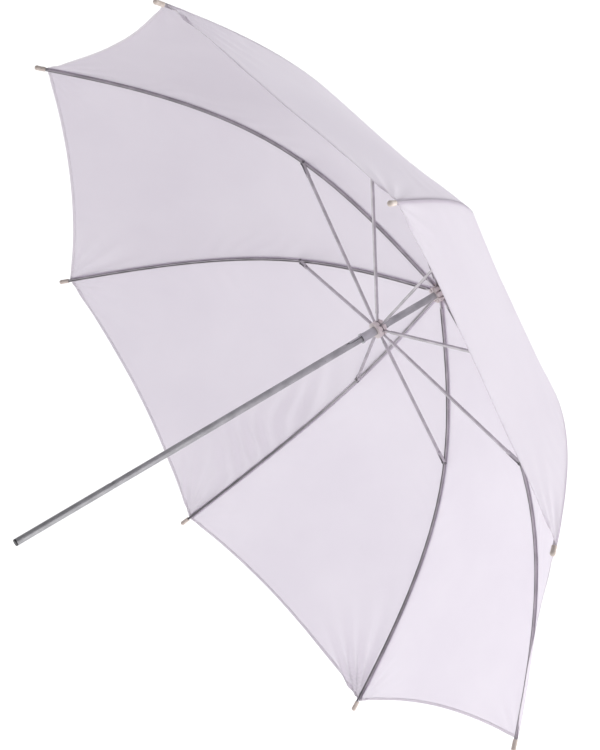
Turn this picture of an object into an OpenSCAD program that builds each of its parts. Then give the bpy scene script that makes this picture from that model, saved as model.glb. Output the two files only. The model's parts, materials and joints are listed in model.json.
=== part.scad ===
// Folding shoot-through umbrella for studio lighting.
// Millimetres. The shaft lies along +Y: its free end is at the origin and the crown is toward +Y.
// Sub-parts are drawn with the shaft along +Z and rib 1 along +X, and turned into place by lay().

/* [Shaft] */
// Outside diameter of the shaft tube
shaft_d = 8; // [6:0.5:10]
// Wall of the shaft tube
shaft_wall = 0.6; // [0.4:0.1:0.8]
// From the free end to the plane of the rib hinges
crown_y = 575; // [500:5:650]
// Length of plain tube at the free end, for a clamp or bracket
grip_len = 118; // [90:1:130]

/* [Ribs] */
// Slope of a rib at the crown, degrees below level
crown_slope = 7.3; // [4:0.1:10]
// Slope of a rib at its stretcher rivet
rivet_slope = 23.4; // [18:0.1:26]
// Slope of a rib at the rim
rim_slope = 50.4; // [44:0.1:54]
// Length of a rib along its curve, from its hinge to its end
rib_len = 535; // [480:1:540]
// From the rib's hinge to its stretcher rivet, along the curve
rivet_at = 212; // [190:1:225]
// Width of the rib channel
rib_w = 2.8; // [2.6:0.1:4]
// Width of the stretcher channel
stretcher_w = 2.6; // [2.4:0.1:4]
// Height of the rib channel
rib_h = 3; // [2.4:0.1:3.4]
// Metal thickness of ribs and stretchers
rib_wall = 0.6; // [0.4:0.1:0.8]

/* [Notches] */
// Radius of the ring that the ribs and stretchers hinge on
ring_r = 8; // [7.5:0.1:9]
// Radius of the tie wire
wire_r = 0.55; // [0.4:0.05:0.6]
// Outside radius of the crown notch and of the runner's notch
notch_r = 9.6; // [9.2:0.1:10]
// Thickness of a hinge blade
blade_t = 1.6; // [1.2:0.1:1.8]

/* [Canopy] */
// From the rib's hinge to the canopy's corner, along the rib
corner_at = 527; // [480:1:530]
// How far the middle of a hem lies in from the line of its corners
hem_cut = 15; // [0:1:40]
// Inward sag of a panel between two ribs, as a share of its width
sag_share = 0.012; // [0:0.002:0.1]
// Thickness of the cloth solid
cloth_t = 0.6; // [0.4:0.1:1.5]

/* [Hidden] */
$fn = 48;
rib_count = 8;
pitch = 360 / rib_count;
half_pitch = pitch / 2;
slack = 0.3;              // clearance between pieces that only pass each other
snug = 0.05;              // clearance between pieces that are fitted together
eps = 0.1;

shaft_r = shaft_d / 2;
shaft_bore_r = shaft_r - shaft_wall;
shaft_top = crown_y + 14;
bore_r = shaft_r + 0.35;  // the runner slides on the shaft

// The slope of a rib grows with the square of the distance up to the rivet,
// then eases off toward the rim.
ease_from = 225;
ease_to = 560;
function slope(s) = s < ease_from
    ? crown_slope + (rivet_slope - crown_slope) * pow(s / ease_from, 2)
    : rim_slope - (rim_slope - rivet_slope) * pow((ease_to - s) / (ease_to - ease_from), 2);

// Points every rib_step along the curve, as [distance from the shaft's line, height above the hinges]
rib_step = 2;
rib_last = ceil(ease_to / rib_step);
rib_curve = [for (i = 0, p = [ring_r, 0], a = slope(rib_step / 2); i <= rib_last;
    i = i + 1,
    p = p + rib_step * [cos(a), -sin(a)],
    a = slope((i + 0.5) * rib_step)) p];
function along(s) = let (i = floor(s / rib_step), f = s / rib_step - i)
    rib_curve[i] * (1 - f) + rib_curve[i + 1] * f;
function outward(s) = [sin(slope(s)), cos(slope(s))];
function beside(s, h) = along(s) + h * outward(s);

// The rivet sits just below the rib's middle. Rib and stretcher are equally long from it,
// so the runner stays on the shaft as the frame folds.
rivet_low = 1.2;
rivet = beside(rivet_at, -rivet_low);
stretcher_len = norm(rivet - [ring_r, 0]);
stretcher_slope = atan2(-rivet[1], rivet[0] - ring_r);
runner_y = crown_y + 2 * rivet[1];

eye_r = 2;
eye_bore_r = 0.8;
rivet_r = 0.8;
rivet_bore_r = 0.85;
rivet_head_r = 1.7;
rivet_head_h = 0.6;
blade_len = 11;           // from a hinge to where the channel starts
slot_w = blade_t + 2 * slack;
slot_floor_r = 5.6;

notch_below = 7;
notch_above = 4;
runner_below = 6;
runner_above = 5;
sleeve_r = 5.1;
sleeve_len = 26;          // from the runner's hinges down to its lower edge
sleeve_lip = 0.8;         // the rolled lip at its lower edge
sleeve_lip_h = 2;

cheek_t = 0.8;
cheek_in = rib_w / 2 + slack;
fork_len = 15;
fork_bridge = 4;

tip_r = 2.7;
tip_ball_r = 2.9;
tip_bore_r = 2.15;
tip_from = corner_at + 1.5;
tip_len = 9.5;

pin_r = 0.8;
hub_pin_y = crown_y - 4.5;
stop_pin_y = runner_y + runner_above + 4;
stop_pin_out = 1.3;

washer_r = 16;
washer_t = 1.2;
cap_r = 8;
cap_h = 14;
cap_edge = 3;             // rounding of the cap's rim

groove_w = 3;
groove_deep = 0.3;

catch_w = 1.6;
catch_root_y = runner_y - sleeve_len - 54;
catch_top_y = runner_y - sleeve_len - slack;
catch_nose_len = 17;
catch_rise = 3;           // how far the catch stands out of the shaft
catch_leaf_t = 0.8;
catch_leaf_r = 2.9;
catch_eye_r = 0.9;
catch_pin_r = 0.5;
catch_pin_reach = 3.2;
catch_line_r = catch_leaf_r - catch_leaf_t / 2 - 0.2;   // from the shaft's line to the catch's pin
catch_slot_w = 2.2;

cloth_rows = 20;
cloth_cols = 4;
cloth_from = 4;           // the canopy's inner edge, along the rib from its hinge
cloth_gap = 0.2;          // half the gap between two cloth solids
cloth_lift = rib_h / 2 + 3 * slack;   // clears the ribs' curve and the sag across a rib's width

steel = "#a9a9ad";
dark_steel = "#5d5d61";
plastic = "#d9cfc6";
black = "#2b2b2d";
cloth = "#e6e0ec";

// The shaft's line, drawn along +Z, is laid along +Y.
module lay() { rotate([-90, 0, 0]) children(); }

// Rib 1 is half a pitch to the right of straight up, and the others follow clockwise
// as seen from the free end.
module at_rib(n) { lay() rotate([0, 0, -90 + half_pitch + (n - 1) * pitch]) children(); }

// Turns a drawing of (distance from the shaft's line, height) upright, half of its width each side.
module upright(w) { translate([0, w / 2, 0]) rotate([90, 0, 0]) linear_extrude(w) children(); }

module ring(r, wire) { rotate_extrude() translate([r, 0]) circle(wire); }

module pin(r, reach) { rotate([0, 90, 0]) cylinder(r = r, h = 2 * reach, center = true); }

// A notched collar: a slot for each blade, and a groove around it for the tie wire.
module notch(below, above, slot_below, slot_above) {
    difference() {
        translate([0, 0, -below]) cylinder(r = notch_r, h = below + above);
        for (n = [0 : rib_count - 1]) rotate([0, 0, half_pitch + n * pitch])
            translate([slot_floor_r, -slot_w / 2, -slot_below])
                cube([notch_r, slot_w, slot_below + slot_above]);
        rotate_extrude() translate([ring_r - wire_r - snug, -wire_r - snug])
            square([notch_r, 2 * (wire_r + snug)]);
    }
}

module shaft() {
    slot_from = catch_top_y - catch_nose_len - 3;
    color(steel) lay() difference() {
        cylinder(r = shaft_r, h = shaft_top);
        translate([0, 0, -eps]) cylinder(r = shaft_bore_r, h = shaft_top + 2 * eps);
        translate([0, 0, grip_len]) rotate_extrude()
            translate([shaft_r - groove_deep, 0]) square([1, groove_w]);
        translate([-catch_slot_w / 2, -shaft_r - 1, slot_from])
            cube([catch_slot_w, shaft_r, catch_top_y + 1 - slot_from]);
        for (y = [hub_pin_y, stop_pin_y]) translate([0, 0, y]) pin(pin_r + snug, shaft_r + 1);
        translate([0, -catch_line_r, catch_root_y]) pin(catch_pin_r + snug, shaft_r);
    }
}

module end_plug() {
    plug_r = shaft_bore_r - snug;
    color(black) lay() {
        cylinder(r = plug_r, h = 12);
        translate([0, 0, -1.5]) cylinder(r = shaft_r - 0.2, h = 1.5);
    }
}

module crown_notch() {
    color(plastic) lay() translate([0, 0, crown_y]) difference() {
        notch(notch_below, notch_above, notch_below + eps, eye_r + slack);
        translate([0, 0, -notch_below - eps])
            cylinder(r = shaft_r + snug, h = notch_below + notch_above + 2 * eps);
        translate([0, 0, hub_pin_y - crown_y]) pin(pin_r + snug, notch_r + 1);
    }
}

module crown_wire() { color(dark_steel) lay() translate([0, 0, crown_y]) ring(ring_r, wire_r); }

// Two pins across the shaft: one holds the crown notch, and the runner stops against the other
module cross_pins() {
    color(steel) lay() {
        translate([0, 0, hub_pin_y]) pin(pin_r, notch_r - 0.3);
        translate([0, 0, stop_pin_y]) pin(pin_r, shaft_r + stop_pin_out);
    }
}

module crown_washer() {
    color(plastic) lay() translate([0, 0, crown_y + notch_above]) difference() {
        cylinder(r = washer_r, h = washer_t);
        translate([0, 0, -eps]) cylinder(r = shaft_r + snug, h = washer_t + 2 * eps);
    }
}

module top_cap() {
    base = crown_y + notch_above + washer_t;
    color(plastic) lay() difference() {
        translate([0, 0, base]) {
            cylinder(r = cap_r, h = cap_h - cap_edge);
            cylinder(r = cap_r - cap_edge, h = cap_h);
            translate([0, 0, cap_h - cap_edge]) ring(cap_r - cap_edge, cap_edge);
        }
        translate([0, 0, base - eps])
            cylinder(r = shaft_r + snug, h = shaft_top - base + eps + snug);
    }
}

// A leaf inside the tube, with an eye on its pin and a ramped nose that stands out of the slot
module catch_spring() {
    nose_from = catch_top_y - catch_nose_len;
    outer = shaft_r + catch_rise;
    inner = catch_leaf_r - catch_leaf_t;
    color(steel) lay() difference() {
        union() {
            translate([-catch_w / 2, 0, 0]) rotate([90, 0, 90]) linear_extrude(catch_w) polygon([
                [-inner, catch_root_y], [-catch_leaf_r, catch_root_y],
                [-catch_leaf_r, nose_from], [-shaft_r, nose_from + 1],
                [-outer, catch_top_y - 2], [-outer, catch_top_y], [-inner, catch_top_y]]);
            translate([0, -catch_line_r, catch_root_y]) pin(catch_eye_r, catch_w / 2);
        }
        translate([0, -catch_line_r, catch_root_y]) pin(catch_pin_r + snug, catch_w);
    }
}

module catch_pin() {
    color(dark_steel) lay() translate([0, -catch_line_r, catch_root_y])
        pin(catch_pin_r, catch_pin_reach);
}

module runner() {
    color(plastic) lay() translate([0, 0, runner_y]) difference() {
        notch(runner_below, runner_above, eye_r + slack, runner_above + eps);
        translate([0, 0, -runner_below - eps])
            cylinder(r = sleeve_r + snug, h = runner_below + runner_above + 2 * eps);
    }
}

// A thin tube with a rolled lip, pressed into the runner and sliding on the shaft
module runner_sleeve() {
    tube_len = sleeve_len + runner_above;
    color(steel) lay() translate([0, 0, runner_y - sleeve_len]) difference() {
        union() {
            cylinder(r = sleeve_r, h = tube_len);
            cylinder(r = sleeve_r + sleeve_lip, h = sleeve_lip_h);
        }
        translate([0, 0, -eps]) cylinder(r = bore_r, h = tube_len + 2 * eps);
    }
}

module runner_wire() { color(dark_steel) lay() translate([0, 0, runner_y]) ring(ring_r, wire_r); }

// The rib's outline between two heights off its middle line
module rib_outline(from, to, low, high) {
    steps = ceil((to - from) / 20);
    polygon(concat(
        [for (i = [0 : steps]) beside(from + (to - from) * i / steps, low)],
        [for (i = [steps : -1 : 0]) beside(from + (to - from) * i / steps, high)]));
}

// A channel open toward the inside of the canopy, with a flat blade and eye at the crown
module rib(n) {
    color(steel) at_rib(n) translate([0, 0, crown_y]) difference() {
        union() {
            upright(rib_w) rib_outline(blade_len, rib_len, -rib_h / 2, rib_h / 2);
            upright(blade_t) rib_outline(0, blade_len + 1, -rib_h / 2 + 0.2, rib_h / 2 - 0.2);
            upright(blade_t) translate([ring_r, 0]) circle(eye_r);
        }
        upright(rib_w - 2 * rib_wall)
            rib_outline(blade_len + 2, rib_len - 2, -rib_h, rib_h / 2 - rib_wall);
        upright(rib_w + 1) translate([ring_r, 0]) circle(eye_bore_r);
        upright(rib_w + 1) translate(rivet) circle(rivet_bore_r);
    }
}

// A round-ended ferrule that the canopy's corner is sewn to
module rib_tip(n) {
    start = along(tip_from);
    color(plastic) at_rib(n) translate([start[0], 0, crown_y + start[1]])
        rotate([0, 90 + slope((tip_from + rib_len) / 2), 0]) difference() {
            union() {
                cylinder(r = tip_r, h = tip_len);
                translate([0, 0, tip_len]) sphere(tip_ball_r);
            }
            translate([0, 0, -eps]) cylinder(r = tip_bore_r, h = rib_len - tip_from + snug + eps);
        }
}

module rivet_pin(n) {
    reach = cheek_in + cheek_t;
    color(dark_steel) at_rib(n) translate([rivet[0], 0, crown_y + rivet[1]]) rotate([90, 0, 0]) {
        cylinder(r = rivet_r, h = 2 * reach, center = true);
        for (side = [-1, 1]) translate([0, 0, side * (reach + rivet_head_h / 2)])
            cylinder(r = rivet_head_r, h = rivet_head_h, center = true);
    }
}

// Drawn along +X from the runner's hinge, then turned up to meet the rib's rivet
module stretcher(n) {
    body_end = stretcher_len - fork_len;
    wide = 2 * (cheek_in + cheek_t);
    color(steel) at_rib(n) translate([ring_r, 0, runner_y]) rotate([0, -stretcher_slope, 0])
        difference() {
            union() {
                upright(blade_t) circle(eye_r);
                translate([0, -blade_t / 2, -rib_h / 2 + 0.2]) cube([blade_len + 1, blade_t, rib_h - 0.4]);
                translate([blade_len, -stretcher_w / 2, -rib_h / 2])
                    cube([body_end - blade_len + 1, stretcher_w, rib_h]);
                translate([body_end - fork_bridge, -wide / 2, -rib_h / 2])
                    cube([fork_bridge, wide, rib_h]);
                for (side = [0, 1]) mirror([0, side, 0]) {
                    translate([body_end - eps, cheek_in, -rib_h / 2])
                        cube([fork_len + eps, cheek_t, rib_h]);
                    translate([stretcher_len, cheek_in + cheek_t, 0]) rotate([90, 0, 0])
                        cylinder(r = rib_h / 2 + 0.6, h = cheek_t);
                }
            }
            translate([blade_len + 2, -stretcher_w / 2 + rib_wall, rib_wall - rib_h / 2])
                cube([body_end - fork_bridge - blade_len - 4, stretcher_w - 2 * rib_wall, rib_h]);
            translate([body_end, -cheek_in, -rib_h]) cube([fork_len + 5, 2 * cheek_in, 2 * rib_h]);
            upright(rib_w) circle(eye_bore_r);
            upright(wide + 2) translate([stretcher_len, 0]) circle(rivet_bore_r);
        }
}

// A point of the cloth: s along the rib, u from the rib (0) to the middle of the gore (1),
// h above the ribs' middle line. Between ribs the cloth sags inward.
function cloth_point(s, u, h) =
    let (p = along(s),
         t = u / 2,
         x = p[0] * (1 - t * (1 - cos(pitch))),
         y = p[0] * t * sin(pitch),
         a = atan2(y, x),
         width = 2 * p[0] * sin(half_pitch),
         lift = h - sag_share * width * u * (2 - u),
         n = outward(s),
         gap = cloth_gap * [u * sin(half_pitch), 1 - u - u * cos(half_pitch)])
    [x + lift * n[0] * cos(a) + gap[0], y + lift * n[0] * sin(a) + gap[1], p[1] + lift * n[1]];

function cloth_end(u) = corner_at - hem_cut * u * (2 - u);

// Half of a gore, from a rib to the middle of the gore, as one closed solid
module half_gore() {
    across = cloth_cols + 1;
    count = (cloth_rows + 1) * across;
    points = [for (h = [cloth_lift, cloth_lift + cloth_t]) for (i = [0 : cloth_rows])
        for (j = [0 : cloth_cols]) let (u = j / cloth_cols)
            cloth_point(cloth_from + (cloth_end(u) - cloth_from) * i / cloth_rows, u, h)];
    function quad(a, b, c, d) = [[a, b, c], [a, c, d]];
    low = [for (i = [0 : cloth_rows - 1]) for (j = [0 : cloth_cols - 1]) let (k = i * across + j)
        each quad(k, k + across, k + across + 1, k + 1)];
    high = [for (i = [0 : cloth_rows - 1]) for (j = [0 : cloth_cols - 1])
        let (k = count + i * across + j)
            each quad(k, k + 1, k + across + 1, k + across)];
    ends = [for (j = [0 : cloth_cols - 1]) let (k = j, m = cloth_rows * across + j)
        each concat(quad(k, k + 1, count + k + 1, count + k),
                    quad(m + 1, m, count + m, count + m + 1))];
    sides = [for (i = [0 : cloth_rows - 1]) let (k = i * across, m = k + cloth_cols)
        each concat(quad(k + across, k, count + k, count + k + across),
                    quad(m, m + across, count + m + across, count + m))];
    polyhedron(points, concat(low, high, ends, sides), convexity = 4);
}

module panel(n, side) {
    color(cloth) at_rib(n) translate([0, 0, crown_y]) mirror([0, side, 0]) half_gore();
}

shaft();
end_plug();
crown_notch();
crown_wire();
cross_pins();
crown_washer();
top_cap();
catch_spring();
catch_pin();
runner();
runner_sleeve();
runner_wire();
for (n = [1 : rib_count]) {
    rib(n);
    rib_tip(n);
    rivet_pin(n);
    stretcher(n);
    panel(n, 0);
    panel(n, 1);
}
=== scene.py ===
"""A white shoot-through studio umbrella, open, seen from its hollow side.

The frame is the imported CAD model, with its shaft along +Y. This script gives every node its
material and builds the cloth: two halves of each gore, sewn together, each with its hem, its seam
and their stitches. Lengths are in metres and angles in degrees, unless a name says otherwise.
"""
import json
import math

import bpy
import numpy as np
from mathutils import Matrix, Vector, noise


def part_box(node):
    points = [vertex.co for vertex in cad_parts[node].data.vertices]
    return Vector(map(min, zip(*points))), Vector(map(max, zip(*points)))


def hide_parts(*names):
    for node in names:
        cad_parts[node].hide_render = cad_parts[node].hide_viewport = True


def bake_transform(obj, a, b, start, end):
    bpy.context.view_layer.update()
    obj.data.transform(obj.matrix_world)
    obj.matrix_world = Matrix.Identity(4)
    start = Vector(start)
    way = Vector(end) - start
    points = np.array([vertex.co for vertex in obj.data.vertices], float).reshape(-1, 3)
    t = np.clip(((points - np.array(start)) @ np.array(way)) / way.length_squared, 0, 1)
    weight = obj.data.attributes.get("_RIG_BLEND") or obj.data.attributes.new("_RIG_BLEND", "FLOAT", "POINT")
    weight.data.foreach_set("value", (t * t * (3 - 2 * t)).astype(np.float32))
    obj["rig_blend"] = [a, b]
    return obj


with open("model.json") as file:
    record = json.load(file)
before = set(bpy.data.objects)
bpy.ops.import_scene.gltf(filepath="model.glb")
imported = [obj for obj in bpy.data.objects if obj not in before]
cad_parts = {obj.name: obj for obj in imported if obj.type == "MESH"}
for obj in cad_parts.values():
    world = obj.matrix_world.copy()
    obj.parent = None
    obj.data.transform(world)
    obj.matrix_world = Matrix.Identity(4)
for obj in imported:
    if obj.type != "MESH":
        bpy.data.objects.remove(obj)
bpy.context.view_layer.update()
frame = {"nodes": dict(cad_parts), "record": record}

MM = 0.001

# ---------------------------------------------------------------- the umbrella's measures
RIB_COUNT = 8
PITCH = 360 / RIB_COUNT
FIRST_RIB = PITCH / 2          # from straight up, clockwise as seen from the free end

CROWN = (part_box("crown_wire")[0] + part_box("crown_wire")[1]) / 2
RING_R = 8 * MM                # the ribs hinge at this distance from the shaft's line
CORNER_AT = 527 * MM           # along a rib, from its hinge to the cloth's corner
CLOTH_FROM = 4 * MM            # along a rib, to the cloth's inner edge
HEM_CUT = 15 * MM              # how far the middle of a hem lies in from its corners
SAG_SHARE = 0.012              # inward sag of a gore, as a share of its width
RIB_TOP = 1.5 * MM             # from a rib's middle line to its top
CLOTH_LIFT = RIB_TOP + 0.95 * MM   # and to the cloth, which clears the rib

# slopes of a rib, in degrees below level, and where along it the slope starts and stops easing off
CROWN_SLOPE, RIVET_SLOPE, RIM_SLOPE = 7.3, 23.4, 50.4
EASE_FROM, EASE_TO = 225 * MM, 560 * MM


def rib_slope(s):
    """Degrees below level at the distance s along a rib: it grows up to the rivet, then eases off."""
    rise = CROWN_SLOPE + (RIVET_SLOPE - CROWN_SLOPE) * (s / EASE_FROM) ** 2
    ease = RIM_SLOPE - (RIM_SLOPE - RIVET_SLOPE) * ((EASE_TO - s) / (EASE_TO - EASE_FROM)) ** 2
    return np.where(s < EASE_FROM, rise, ease)


STEP = 1 * MM
RIB_S = np.arange(0, EASE_TO + STEP / 2, STEP)
_mid_slope = np.radians(rib_slope(RIB_S[:-1] + STEP / 2))
RIB_X = RING_R + np.concatenate([[0], np.cumsum(STEP * np.cos(_mid_slope))])
RIB_Z = -np.concatenate([[0], np.cumsum(STEP * np.sin(_mid_slope))])


# ---------------------------------------------------------------- the cloth's surface
SLOW_SWELL, QUICK_SWELL = 1.5 * MM, 0.45 * MM   # the cloth's gentle unevenness, away from the ribs
SLOW_RATE, QUICK_RATE, WANDER_RATE = 9, 24, 12  # noise features in a metre, roughly
CALM_STRIP = 22 * MM           # beside a rib the cloth is pulled smooth
FAN_CENTRE = 6 * MM            # the corner folds meet this far past the corner
FAN_GROWS = 30 * MM            # they rise from nothing there to their height this far away
FAN_EDGE = 9                   # and fade out over this many degrees beside the rib
# the puckers' distance from the rib, how fast they fade to either side, and where they start
PUCKER_STRIP, PUCKER_WIDE, PUCKER_EDGE = 28 * MM, 30 * MM, 9 * MM
PUCKER_SLANT, PUCKER_WANDER = 0.6, 1.1


def hem_at(u):
    """Distance along a rib to the hem, at u from the rib (0) to the gore's middle (1)."""
    return CORNER_AT - HEM_CUT * u * (2 - u)


def fold_height(s, u, across, point, spec):
    """How far the cloth stands out of its smooth shape, along its normal."""
    free = 1 - math.exp(-((across / CALM_STRIP) ** 2))
    slow = noise.noise(point * SLOW_RATE + Vector((3.1, 0.4, 7.7)))
    quick = noise.noise(point * QUICK_RATE + Vector((1.7, 5.2, 2.9)))
    height = free * (SLOW_SWELL * slow + QUICK_SWELL * quick)

    # folds that fan out from the corner where the cloth is pulled to the tip
    back = CORNER_AT + FAN_CENTRE - s
    reach = math.hypot(back, across)
    turn = math.degrees(math.atan2(across, max(back, 1e-6)))
    fan = math.exp(-((reach / spec["fan_reach"]) ** 2)) * min(1, reach / FAN_GROWS)
    fan *= math.sin(math.radians(turn * 360 / spec["fan_turn"])) * min(1, turn / FAN_EDGE)
    height += spec["fan"] * fan * (1 - u) * MM

    # puckers beside the seam, slanting away from the rib
    if spec["pucker"]:
        strip = math.exp(-(((across - PUCKER_STRIP) / PUCKER_WIDE) ** 2))
        strip *= min(1, across / PUCKER_EDGE)
        along = math.exp(-(((s - spec["pucker_at"]) / spec["pucker_len"]) ** 2))
        phase = (s + PUCKER_SLANT * across) / spec["pucker_step"]
        phase += PUCKER_WANDER * noise.noise(point * WANDER_RATE)
        height += spec["pucker"] * strip * along * math.sin(2 * math.pi * phase) * (1 - u) * MM
    return height


# fan and pucker are heights in millimetres, and fan_turn is the angle that one corner fold takes
CALM = {"fan": 1.1, "fan_reach": 80 * MM, "fan_turn": 24, "pucker": 0.5,
        "pucker_at": 300 * MM, "pucker_len": 170 * MM, "pucker_step": 38 * MM}
CREASED = {
    (5, "a"): {"pucker": 3.8, "pucker_at": 390 * MM, "pucker_len": 140 * MM,
               "pucker_step": 39 * MM, "fan": 2.4, "fan_turn": 17},
    (4, "a"): {"fan": 5.2, "fan_reach": 80 * MM, "fan_turn": 17},
    (4, "b"): {"fan": 2.0, "fan_reach": 70 * MM, "fan_turn": 17},
    (6, "a"): {"fan": 2.2, "fan_reach": 95 * MM},
    (6, "b"): {"fan": 2.0, "fan_reach": 90 * MM},
    (8, "a"): {"fan": 2.2, "fan_turn": 18},
}


class HalfGore:
    """The cloth between a rib and the middle of the gore on its side a (clockwise) or b."""

    def __init__(self, n, side):
        self.side = side
        turn = math.radians(FIRST_RIB + (n - 1) * PITCH)
        self.out = Vector((math.sin(turn), 0, math.cos(turn)))
        self.aside = Vector((math.cos(turn), 0, -math.sin(turn))) * (1 if side == "a" else -1)
        self.up = Vector((0, 1, 0))
        self.spec = {**CALM, **CREASED.get((n, side), {})}

    def world(self, x, y, z):
        return CROWN + x * self.out + y * self.aside + z * self.up

    def at(self, s, u, lift=0.0, folds=True):
        """(place, normal) at s along the rib and u from the rib (0) to the gore's middle (1)."""
        x0, z0 = float(np.interp(s, RIB_S, RIB_X)), float(np.interp(s, RIB_S, RIB_Z))
        pitch, share = math.radians(PITCH), u / 2
        x = x0 * (1 - share * (1 - math.cos(pitch)))
        y = x0 * share * math.sin(pitch)
        turn, slope = math.atan2(y, x), math.radians(float(rib_slope(np.float64(s))))
        normal_x = math.sin(slope) * math.cos(turn)
        normal_y = math.sin(slope) * math.sin(turn)
        normal_z = math.cos(slope)
        width = 2 * x0 * math.sin(pitch / 2)
        height = CLOTH_LIFT + lift - SAG_SHARE * width * u * (2 - u)
        if folds:
            point = self.world(x, y, z0)
            height += fold_height(s, u, y, point, self.spec)
        place = self.world(x + height * normal_x, y + height * normal_y, z0 + height * normal_z)
        normal = (normal_x * self.out + normal_y * self.aside + normal_z * self.up).normalized()
        return place, normal


class Cloth:
    """Collects the vertices, faces, blend weights and flat coordinates of one cloth piece."""

    def __init__(self):
        self.verts, self.weights, self.flat = [], [], []
        self.faces, self.slots = [], []

    def point(self, place, u, flat):
        self.verts.append(tuple(place))
        self.weights.append(u)
        self.flat.append(flat)
        return len(self.verts) - 1

    def grid(self, rows, flip, slot):
        for low, high in zip(rows, rows[1:]):
            for a, b, c, d in zip(low, low[1:], high[1:], high):
                self.faces.append((a, d, c, b) if flip else (a, b, c, d))
                self.slots.append(slot)


ROWS, COLS = 110, 44
ROW_CROWDING, COL_CROWDING = 1.25, 1.4   # 1 would space the rows or columns evenly
HEM_W, SEAM_W = 3.2 * MM, 3 * MM
HEM_ROUND = 0.25 * MM          # how far the hem's rounded edge stands out
LAYER = 0.35 * MM
STITCH, STITCH_GAP, THREAD_R = 2.4 * MM, 1.4 * MM, 0.22 * MM
SEAM_STITCHES_FROM = 20 * MM
FLAT_SPREAD = 0.39             # beside the crown, about a half gore's width over its length
SHEET, THREAD, HEM = 0, 1, 2   # slots of the cloth's materials


def flat_place(s, u):
    """Where the point lies on the flat cloth that the weave is drawn on."""
    return (u * s * FLAT_SPREAD, s)


def main_sheet(cloth, gore):
    rows = []
    for i in range(ROWS + 1):
        row = []
        for j in range(COLS + 1):
            # closer together beside the rib and toward the hem, where the folds are
            u = (j / COLS) ** COL_CROWDING
            s = CLOTH_FROM + (hem_at(u) - CLOTH_FROM) * (1 - (1 - i / ROWS) ** ROW_CROWDING)
            place, _ = gore.at(s, u)
            row.append(cloth.point(place, u, flat_place(s, u)))
        rows.append(row)
    cloth.grid(rows, gore.side == "a", SHEET)


def hem_band(cloth, gore):
    """The folded edge: a second layer on the inner side, with a rounded outer edge."""
    rows = []
    for back, lift in ((0, 0), (-HEM_ROUND, -LAYER / 2), (0, -LAYER), (HEM_W / 2, -LAYER),
                       (HEM_W, -LAYER), (HEM_W, 0)):
        row = []
        for j in range(2 * COLS + 1):
            u = j / (2 * COLS)
            s = hem_at(u) - back
            place, _ = gore.at(s, u, lift)
            row.append(cloth.point(place, u, flat_place(s, u)))
        rows.append(row)
    # the hem band takes the slot of the nylon that is painted lighter
    cloth.grid(rows, gore.side != "a", HEM)


def seam_band(cloth, gore):
    """The seam allowance beside the rib, laid flat against the inner side."""
    rows = []
    for i in range(ROWS + 1):
        s = CLOTH_FROM + (CORNER_AT - HEM_W - CLOTH_FROM) * i / ROWS
        half = math.sin(math.radians(PITCH)) * float(np.interp(s, RIB_S, RIB_X)) / 2
        band_u = min(0.6, SEAM_W / half)
        row = []
        for u, lift in ((0.0, -LAYER), (band_u / 2, -LAYER), (band_u, -LAYER), (band_u, 0)):
            place, _ = gore.at(s, u, lift)
            row.append(cloth.point(place, u, flat_place(s, u)))
        rows.append(row)
    cloth.grid(rows, gore.side == "a", SHEET)


def stitch(cloth, start, end, normal, u):
    """One stitch: a short flat-bottomed thread that dips into the cloth at both ends."""
    run = (end - start).normalized()
    aside = run.cross(normal).normalized()
    rings = []
    for share, thick in ((0, 0.35), (0.25, 1), (0.75, 1), (1, 0.35)):
        middle = start.lerp(end, share)
        ring = [cloth.point(middle + aside * THREAD_R * thick, u, (0, 0)),
                cloth.point(middle - normal * THREAD_R * 1.2 * thick, u, (0, 0)),
                cloth.point(middle - aside * THREAD_R * thick, u, (0, 0)),
                cloth.point(middle + normal * THREAD_R * 0.4 * thick, u, (0, 0))]
        rings.append(ring)
    for low, high in zip(rings, rings[1:]):
        for k in range(4):
            cloth.faces.append((low[k], low[(k + 1) % 4], high[(k + 1) % 4], high[k]))
            cloth.slots.append(THREAD)
    cloth.faces += [tuple(rings[0]), tuple(reversed(rings[-1]))]
    cloth.slots += [THREAD, THREAD]


def hem_stitches(cloth, gore):
    half = (gore.at(hem_at(1.0), 1.0, folds=False)[0] - gore.at(hem_at(0.0), 0.0, folds=False)[0])
    count = int(half.length / (STITCH + STITCH_GAP))
    for k in range(count):
        middle, reach = (k + 0.5) / count, STITCH / half.length / 2
        ends = []
        for u in (middle - reach, middle + reach):
            ends.append(gore.at(hem_at(u) - 0.8 * HEM_W, u, -LAYER))
        stitch(cloth, ends[0][0], ends[1][0], ends[0][1], middle)


def seam_stitches(cloth, gore):
    run = CORNER_AT - HEM_W - SEAM_STITCHES_FROM
    count = int(run / (STITCH + STITCH_GAP))
    for k in range(count):
        middle = SEAM_STITCHES_FROM + run * (k + 0.5) / count
        half = math.sin(math.radians(PITCH)) * float(np.interp(middle, RIB_S, RIB_X)) / 2
        u = min(0.5, 0.72 * SEAM_W / half)
        first, last = (gore.at(middle + t * STITCH / 2, u, -LAYER) for t in (-1, 1))
        stitch(cloth, first[0], last[0], first[1], u)


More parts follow.
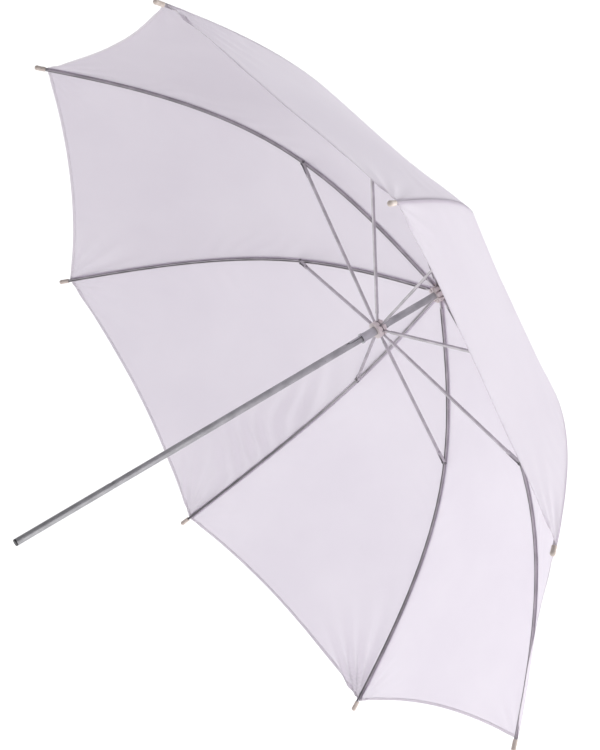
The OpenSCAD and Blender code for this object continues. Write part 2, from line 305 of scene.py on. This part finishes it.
def build_cloth(n, side, materials):
    gore, cloth = HalfGore(n, side), Cloth()
    main_sheet(cloth, gore)
    hem_band(cloth, gore)
    seam_band(cloth, gore)
    hem_stitches(cloth, gore)
    seam_stitches(cloth, gore)

    mesh = bpy.data.meshes.new(f"cloth_{n}{side}")
    mesh.from_pydata(cloth.verts, [], cloth.faces)
    for material in materials:
        mesh.materials.append(material)
    mesh.polygons.foreach_set("material_index", cloth.slots)
    mesh.polygons.foreach_set("use_smooth", [True] * len(cloth.faces))
    layer = mesh.uv_layers.new(name="flat")
    flat = np.array(cloth.flat, np.float32)
    corners = np.zeros(len(mesh.loops), np.int32)
    mesh.loops.foreach_get("vertex_index", corners)
    layer.data.foreach_set("uv", flat[corners].ravel())
    mesh.update()

    piece = bpy.data.objects.new(f"cloth_{n}{side}", mesh)
    bpy.context.scene.collection.objects.link(piece)
    rib_body, cloth_body = f"rib_{n}_assembly", f"panel_{n}{side}_body"
    start, end = gore.at(CORNER_AT, 0.0)[0], gore.at(hem_at(1.0), 1.0)[0]
    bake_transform(piece, rib_body, cloth_body, start=start, end=end)
    # the cloth turns in step with its distance from the rib, at every height along it
    mesh.attributes["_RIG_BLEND"].data.foreach_set("value", np.array(cloth.weights, np.float32))
    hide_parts(f"panel_{n}{side}")


# ---------------------------------------------------------------- materials
def new_material(name):
    material = bpy.data.materials.new(name)
    material.use_nodes = True
    nodes, links = material.node_tree.nodes, material.node_tree.links
    nodes.clear()
    out = nodes.new("ShaderNodeOutputMaterial")
    shader = nodes.new("ShaderNodeBsdfPrincipled")
    links.new(shader.outputs["BSDF"], out.inputs["Surface"])
    return material, nodes, links, shader, out


def add_noise(nodes, links, scale, detail, stretch=(1, 1, 1)):
    source = nodes.new("ShaderNodeTexCoord").outputs["Object"]
    mapping = nodes.new("ShaderNodeMapping")
    mapping.inputs["Scale"].default_value = stretch
    links.new(source, mapping.inputs["Vector"])
    texture = nodes.new("ShaderNodeTexNoise")
    texture.inputs["Scale"].default_value = scale
    texture.inputs["Detail"].default_value = detail
    links.new(mapping.outputs["Vector"], texture.inputs["Vector"])
    return texture.outputs["Fac"]


def ramp(nodes, links, value, low, high, at=(0.35, 0.65)):
    """The colour low to high, as value goes between the two places in at."""
    node = nodes.new("ShaderNodeValToRGB")
    for stop, place, colour in zip(node.color_ramp.elements, at, (low, high)):
        stop.position = place
        stop.color = (*colour, 1)
    links.new(value, node.inputs["Fac"])
    return node.outputs["Color"]


def spread(nodes, links, value, low, high):
    """value from 0 to 1, spread over low to high."""
    node = nodes.new("ShaderNodeMapRange")
    node.inputs["To Min"].default_value = low
    node.inputs["To Max"].default_value = high
    links.new(value, node.inputs["Value"])
    return node.outputs["Result"]


def add_bump(nodes, links, height, distance, strength=0.5, before=None):
    node = nodes.new("ShaderNodeBump")
    node.inputs["Distance"].default_value = distance
    node.inputs["Strength"].default_value = strength
    links.new(height, node.inputs["Height"])
    if before:
        links.new(before, node.inputs["Normal"])
    return node.outputs["Normal"]


SCRATCH_SCALE = 900            # noise scale of the scratches, before grain stretches them
PLASTIC_ROUGHNESS = (0.38, 0.55)   # its least and most


def metal(name, dark, light, roughness, grain):
    """Bare metal with a cloudy shade from dark to light, and scratches stretched by grain."""
    material, nodes, links, shader, _ = new_material(name)
    shader.inputs["Metallic"].default_value = 1.0
    cloud = add_noise(nodes, links, 60, 5)
    links.new(ramp(nodes, links, cloud, dark, light), shader.inputs["Base Color"])
    scratches = add_noise(nodes, links, SCRATCH_SCALE, 3, stretch=grain)
    links.new(spread(nodes, links, scratches, *roughness), shader.inputs["Roughness"])
    links.new(add_bump(nodes, links, scratches, 0.02 * MM, 0.35), shader.inputs["Normal"])
    return material


def plastic(name, dark, light):
    material, nodes, links, shader, _ = new_material(name)
    cloud = add_noise(nodes, links, 220, 4)
    links.new(ramp(nodes, links, cloud, dark, light), shader.inputs["Base Color"])
    grain = add_noise(nodes, links, 2600, 2)
    links.new(spread(nodes, links, grain, *PLASTIC_ROUGHNESS), shader.inputs["Roughness"])
    links.new(add_bump(nodes, links, grain, 0.03 * MM, 0.4), shader.inputs["Normal"])
    shader.inputs["Specular IOR Level"].default_value = 0.45
    return material


THREAD_SPACING = 0.55 * MM
THREAD_WAVES = 1 / (THREAD_SPACING * math.pi)   # the wave texture's scale, within 2 percent


def weave(nodes, links):
    """A plain weave from the cloth's flat coordinates, in metres."""
    flat = nodes.new("ShaderNodeUVMap")
    flat.uv_map = "flat"
    heights = []
    for direction in ("X", "Y"):
        wave = nodes.new("ShaderNodeTexWave")
        wave.bands_direction = direction
        wave.inputs["Scale"].default_value = THREAD_WAVES
        wave.inputs["Distortion"].default_value = 0.6
        links.new(flat.outputs["UV"], wave.inputs["Vector"])
        heights.append(wave.outputs["Fac"])
    mix = nodes.new("ShaderNodeMath")
    mix.operation = "MULTIPLY"
    links.new(heights[0], mix.inputs[0])
    links.new(heights[1], mix.inputs[1])
    return mix.outputs["Value"]


def nylon(name, base, lit):
    """White nylon, half of the light going through it. base and lit are each (low, high)."""
    material, nodes, links, shader, out = new_material(name)
    cloud = add_noise(nodes, links, 7, 4)
    colour = ramp(nodes, links, cloud, *base)
    links.new(colour, shader.inputs["Base Color"])
    threads = weave(nodes, links)
    crumple = add_noise(nodes, links, 110, 5)
    links.new(spread(nodes, links, threads, 0.5, 0.66), shader.inputs["Roughness"])
    soft = add_bump(nodes, links, crumple, 0.5 * MM, 0.25)
    links.new(add_bump(nodes, links, threads, 0.05 * MM, 0.3, soft), shader.inputs["Normal"])
    shader.inputs["Sheen Weight"].default_value = 0.15
    shader.inputs["Sheen Roughness"].default_value = 0.4
    shader.inputs["Specular IOR Level"].default_value = 0.25

    through = nodes.new("ShaderNodeBsdfTranslucent")
    links.new(ramp(nodes, links, cloud, *lit), through.inputs["Color"])
    mix = nodes.new("ShaderNodeMixShader")
    mix.inputs["Fac"].default_value = 0.46
    links.new(shader.outputs["BSDF"], mix.inputs[1])
    links.new(through.outputs["BSDF"], mix.inputs[2])
    links.new(mix.outputs["Shader"], out.inputs["Surface"])
    return material


def thread():
    material, nodes, links, shader, _ = new_material("sewing_thread")
    cloud = add_noise(nodes, links, 900, 2)
    links.new(ramp(nodes, links, cloud, (0.74, 0.71, 0.77), (0.86, 0.84, 0.88)),
              shader.inputs["Base Color"])
    links.new(spread(nodes, links, cloud, 0.6, 0.8), shader.inputs["Roughness"])
    return material


def all_materials():
    around, along = (1, 0.05, 1), (0.08, 0.08, 0.08)
    return {
        "shaft_steel": metal("shaft_steel", (0.40, 0.40, 0.41), (0.52, 0.52, 0.53),
                             (0.50, 0.60), around),
        "small_steel": metal("small_steel", (0.42, 0.42, 0.44), (0.56, 0.56, 0.58),
                             (0.28, 0.4), along),
        "rib_steel": metal("rib_steel", (0.43, 0.41, 0.43), (0.56, 0.53, 0.56), (0.26, 0.4),
                           along),
        "tie_wire": metal("tie_wire", (0.16, 0.15, 0.16), (0.28, 0.27, 0.28), (0.35, 0.5), along),
        "black_plastic": plastic("black_plastic", (0.02, 0.02, 0.022), (0.045, 0.045, 0.05)),
        "notch_plastic": plastic("notch_plastic", (0.76, 0.67, 0.67), (0.83, 0.74, 0.74)),
        "tip_plastic": plastic("tip_plastic", (0.70, 0.60, 0.54), (0.80, 0.70, 0.64)),
    }


def dress_frame(materials):
    """Gives each shown CAD node the material of its slot, and softens the moulded edges."""
    rounded = {"notch_plastic": 0.35 * MM, "tip_plastic": 0.2 * MM, "black_plastic": 0.3 * MM}
    for sub in frame["record"]["subparts"]:
        slot = sub["material_slot"]
        if slot not in materials:
            continue
        part = frame["nodes"][sub["node"]]
        part.data.materials.clear()
        part.data.materials.append(materials[slot])
        if slot in rounded:
            bevel = part.modifiers.new("rounded_edges", "BEVEL")
            bevel.width = rounded[slot]
            bevel.segments = 2
            bevel.limit_method = "ANGLE"
            bevel.angle_limit = math.radians(40)


# ---------------------------------------------------------------- floor, light and camera
FLOOR_Z = -0.95
FLOOR_HALF = 60.0              # far enough for the floor to meet the sky at the horizon
LENS_MM, SENSOR_MM = 91.15, 36
CAMERA_FROM_CROWN = Vector((1.0581, -1.0747, 1.5891))
CAMERA_AZIMUTH, CAMERA_ELEVATION, CAMERA_ROLL = 50.557, 49.234, 1.394


def add_floor():
    mesh = bpy.data.meshes.new("floor")
    corners = ((-1, -1), (1, -1), (1, 1), (-1, 1))
    mesh.from_pydata([(x * FLOOR_HALF, y * FLOOR_HALF, FLOOR_Z) for x, y in corners],
                     [], [(0, 1, 2, 3)])
    floor = bpy.data.objects.new("floor", mesh)
    bpy.context.scene.collection.objects.link(floor)
    material, _, _, shader, _ = new_material("pale_floor")
    shader.inputs["Base Color"].default_value = (0.93, 0.93, 0.93, 1)
    shader.inputs["Roughness"].default_value = 0.9
    shader.inputs["Emission Color"].default_value = (1, 1, 1, 1)
    shader.inputs["Emission Strength"].default_value = 0.78
    mesh.materials.append(material)


def add_area_light(name, place, aim, size, watts):
    data = bpy.data.lights.new(name, "AREA")
    data.shape = "DISK"
    data.size = size
    data.energy = watts
    light = bpy.data.objects.new(name, data)
    light.location = place
    direction = Vector(aim) - Vector(place)
    light.rotation_euler = direction.to_track_quat("-Z", "Y").to_euler()
    bpy.context.scene.collection.objects.link(light)


def add_lights():
    """A sky that is white at the horizon and grey overhead, and two lights from the right."""
    world = bpy.data.worlds.new("studio")
    world.use_nodes = True
    nodes, links = world.node_tree.nodes, world.node_tree.links
    background = nodes["Background"]
    height = nodes.new("ShaderNodeSeparateXYZ")
    links.new(nodes.new("ShaderNodeTexCoord").outputs["Generated"], height.inputs["Vector"])
    sky = ramp(nodes, links, height.outputs["Z"], (1, 1, 1), (0.24, 0.24, 0.25), (0.0, 1.0))
    middle_stop = sky.node.color_ramp.elements.new(0.10)
    middle_stop.color = (0.44, 0.44, 0.45, 1)
    links.new(sky, background.inputs["Color"])
    bpy.context.scene.world = world
    middle = (0, 0.35, 0)
    add_area_light("behind_right", (1.6, 2.2, -0.6), middle, 2.0, 30)
    add_area_light("key_right", (2.5, 0.5, 1.2), middle, 1.6, 17)


def add_camera():
    data = bpy.data.cameras.new("photo_view")
    data.lens = LENS_MM
    data.sensor_width = SENSOR_MM
    data.sensor_fit = "AUTO"
    camera = bpy.data.objects.new("photo_view", data)
    turn = (Matrix.Rotation(math.radians(CAMERA_AZIMUTH), 3, "Z")
            @ Matrix.Rotation(math.radians(90 - CAMERA_ELEVATION), 3, "X")
            @ Matrix.Rotation(math.radians(CAMERA_ROLL), 3, "Z"))
    camera.matrix_world = Matrix.Translation(CROWN + CAMERA_FROM_CROWN) @ turn.to_4x4()
    bpy.context.scene.collection.objects.link(camera)
    bpy.context.scene.camera = camera


# ---------------------------------------------------------------- the scene
bpy.context.scene.view_settings.view_transform = "Standard"
dress_frame(all_materials())
cloth_materials = [
    nylon("canopy_nylon", ((0.855, 0.790, 0.865), (0.885, 0.825, 0.895)),
          ((0.86, 0.815, 0.89), (0.90, 0.855, 0.925))),
    thread(),
    # the turned hem is doubled and pressed; its nylon is painted lighter and less tinted than the canopy's,
    # painted light that offsets the darker, more tinted light its second layer lets through
    nylon("hem_nylon_painted_lighter", ((0.90, 0.865, 0.895), (0.93, 0.895, 0.925)),
          ((0.93, 0.90, 0.93), (0.96, 0.93, 0.955))),
]
for rib in range(1, RIB_COUNT + 1):
    for half_side in "ab":
        build_cloth(rib, half_side, cloth_materials)
add_floor()
add_lights()
add_camera()
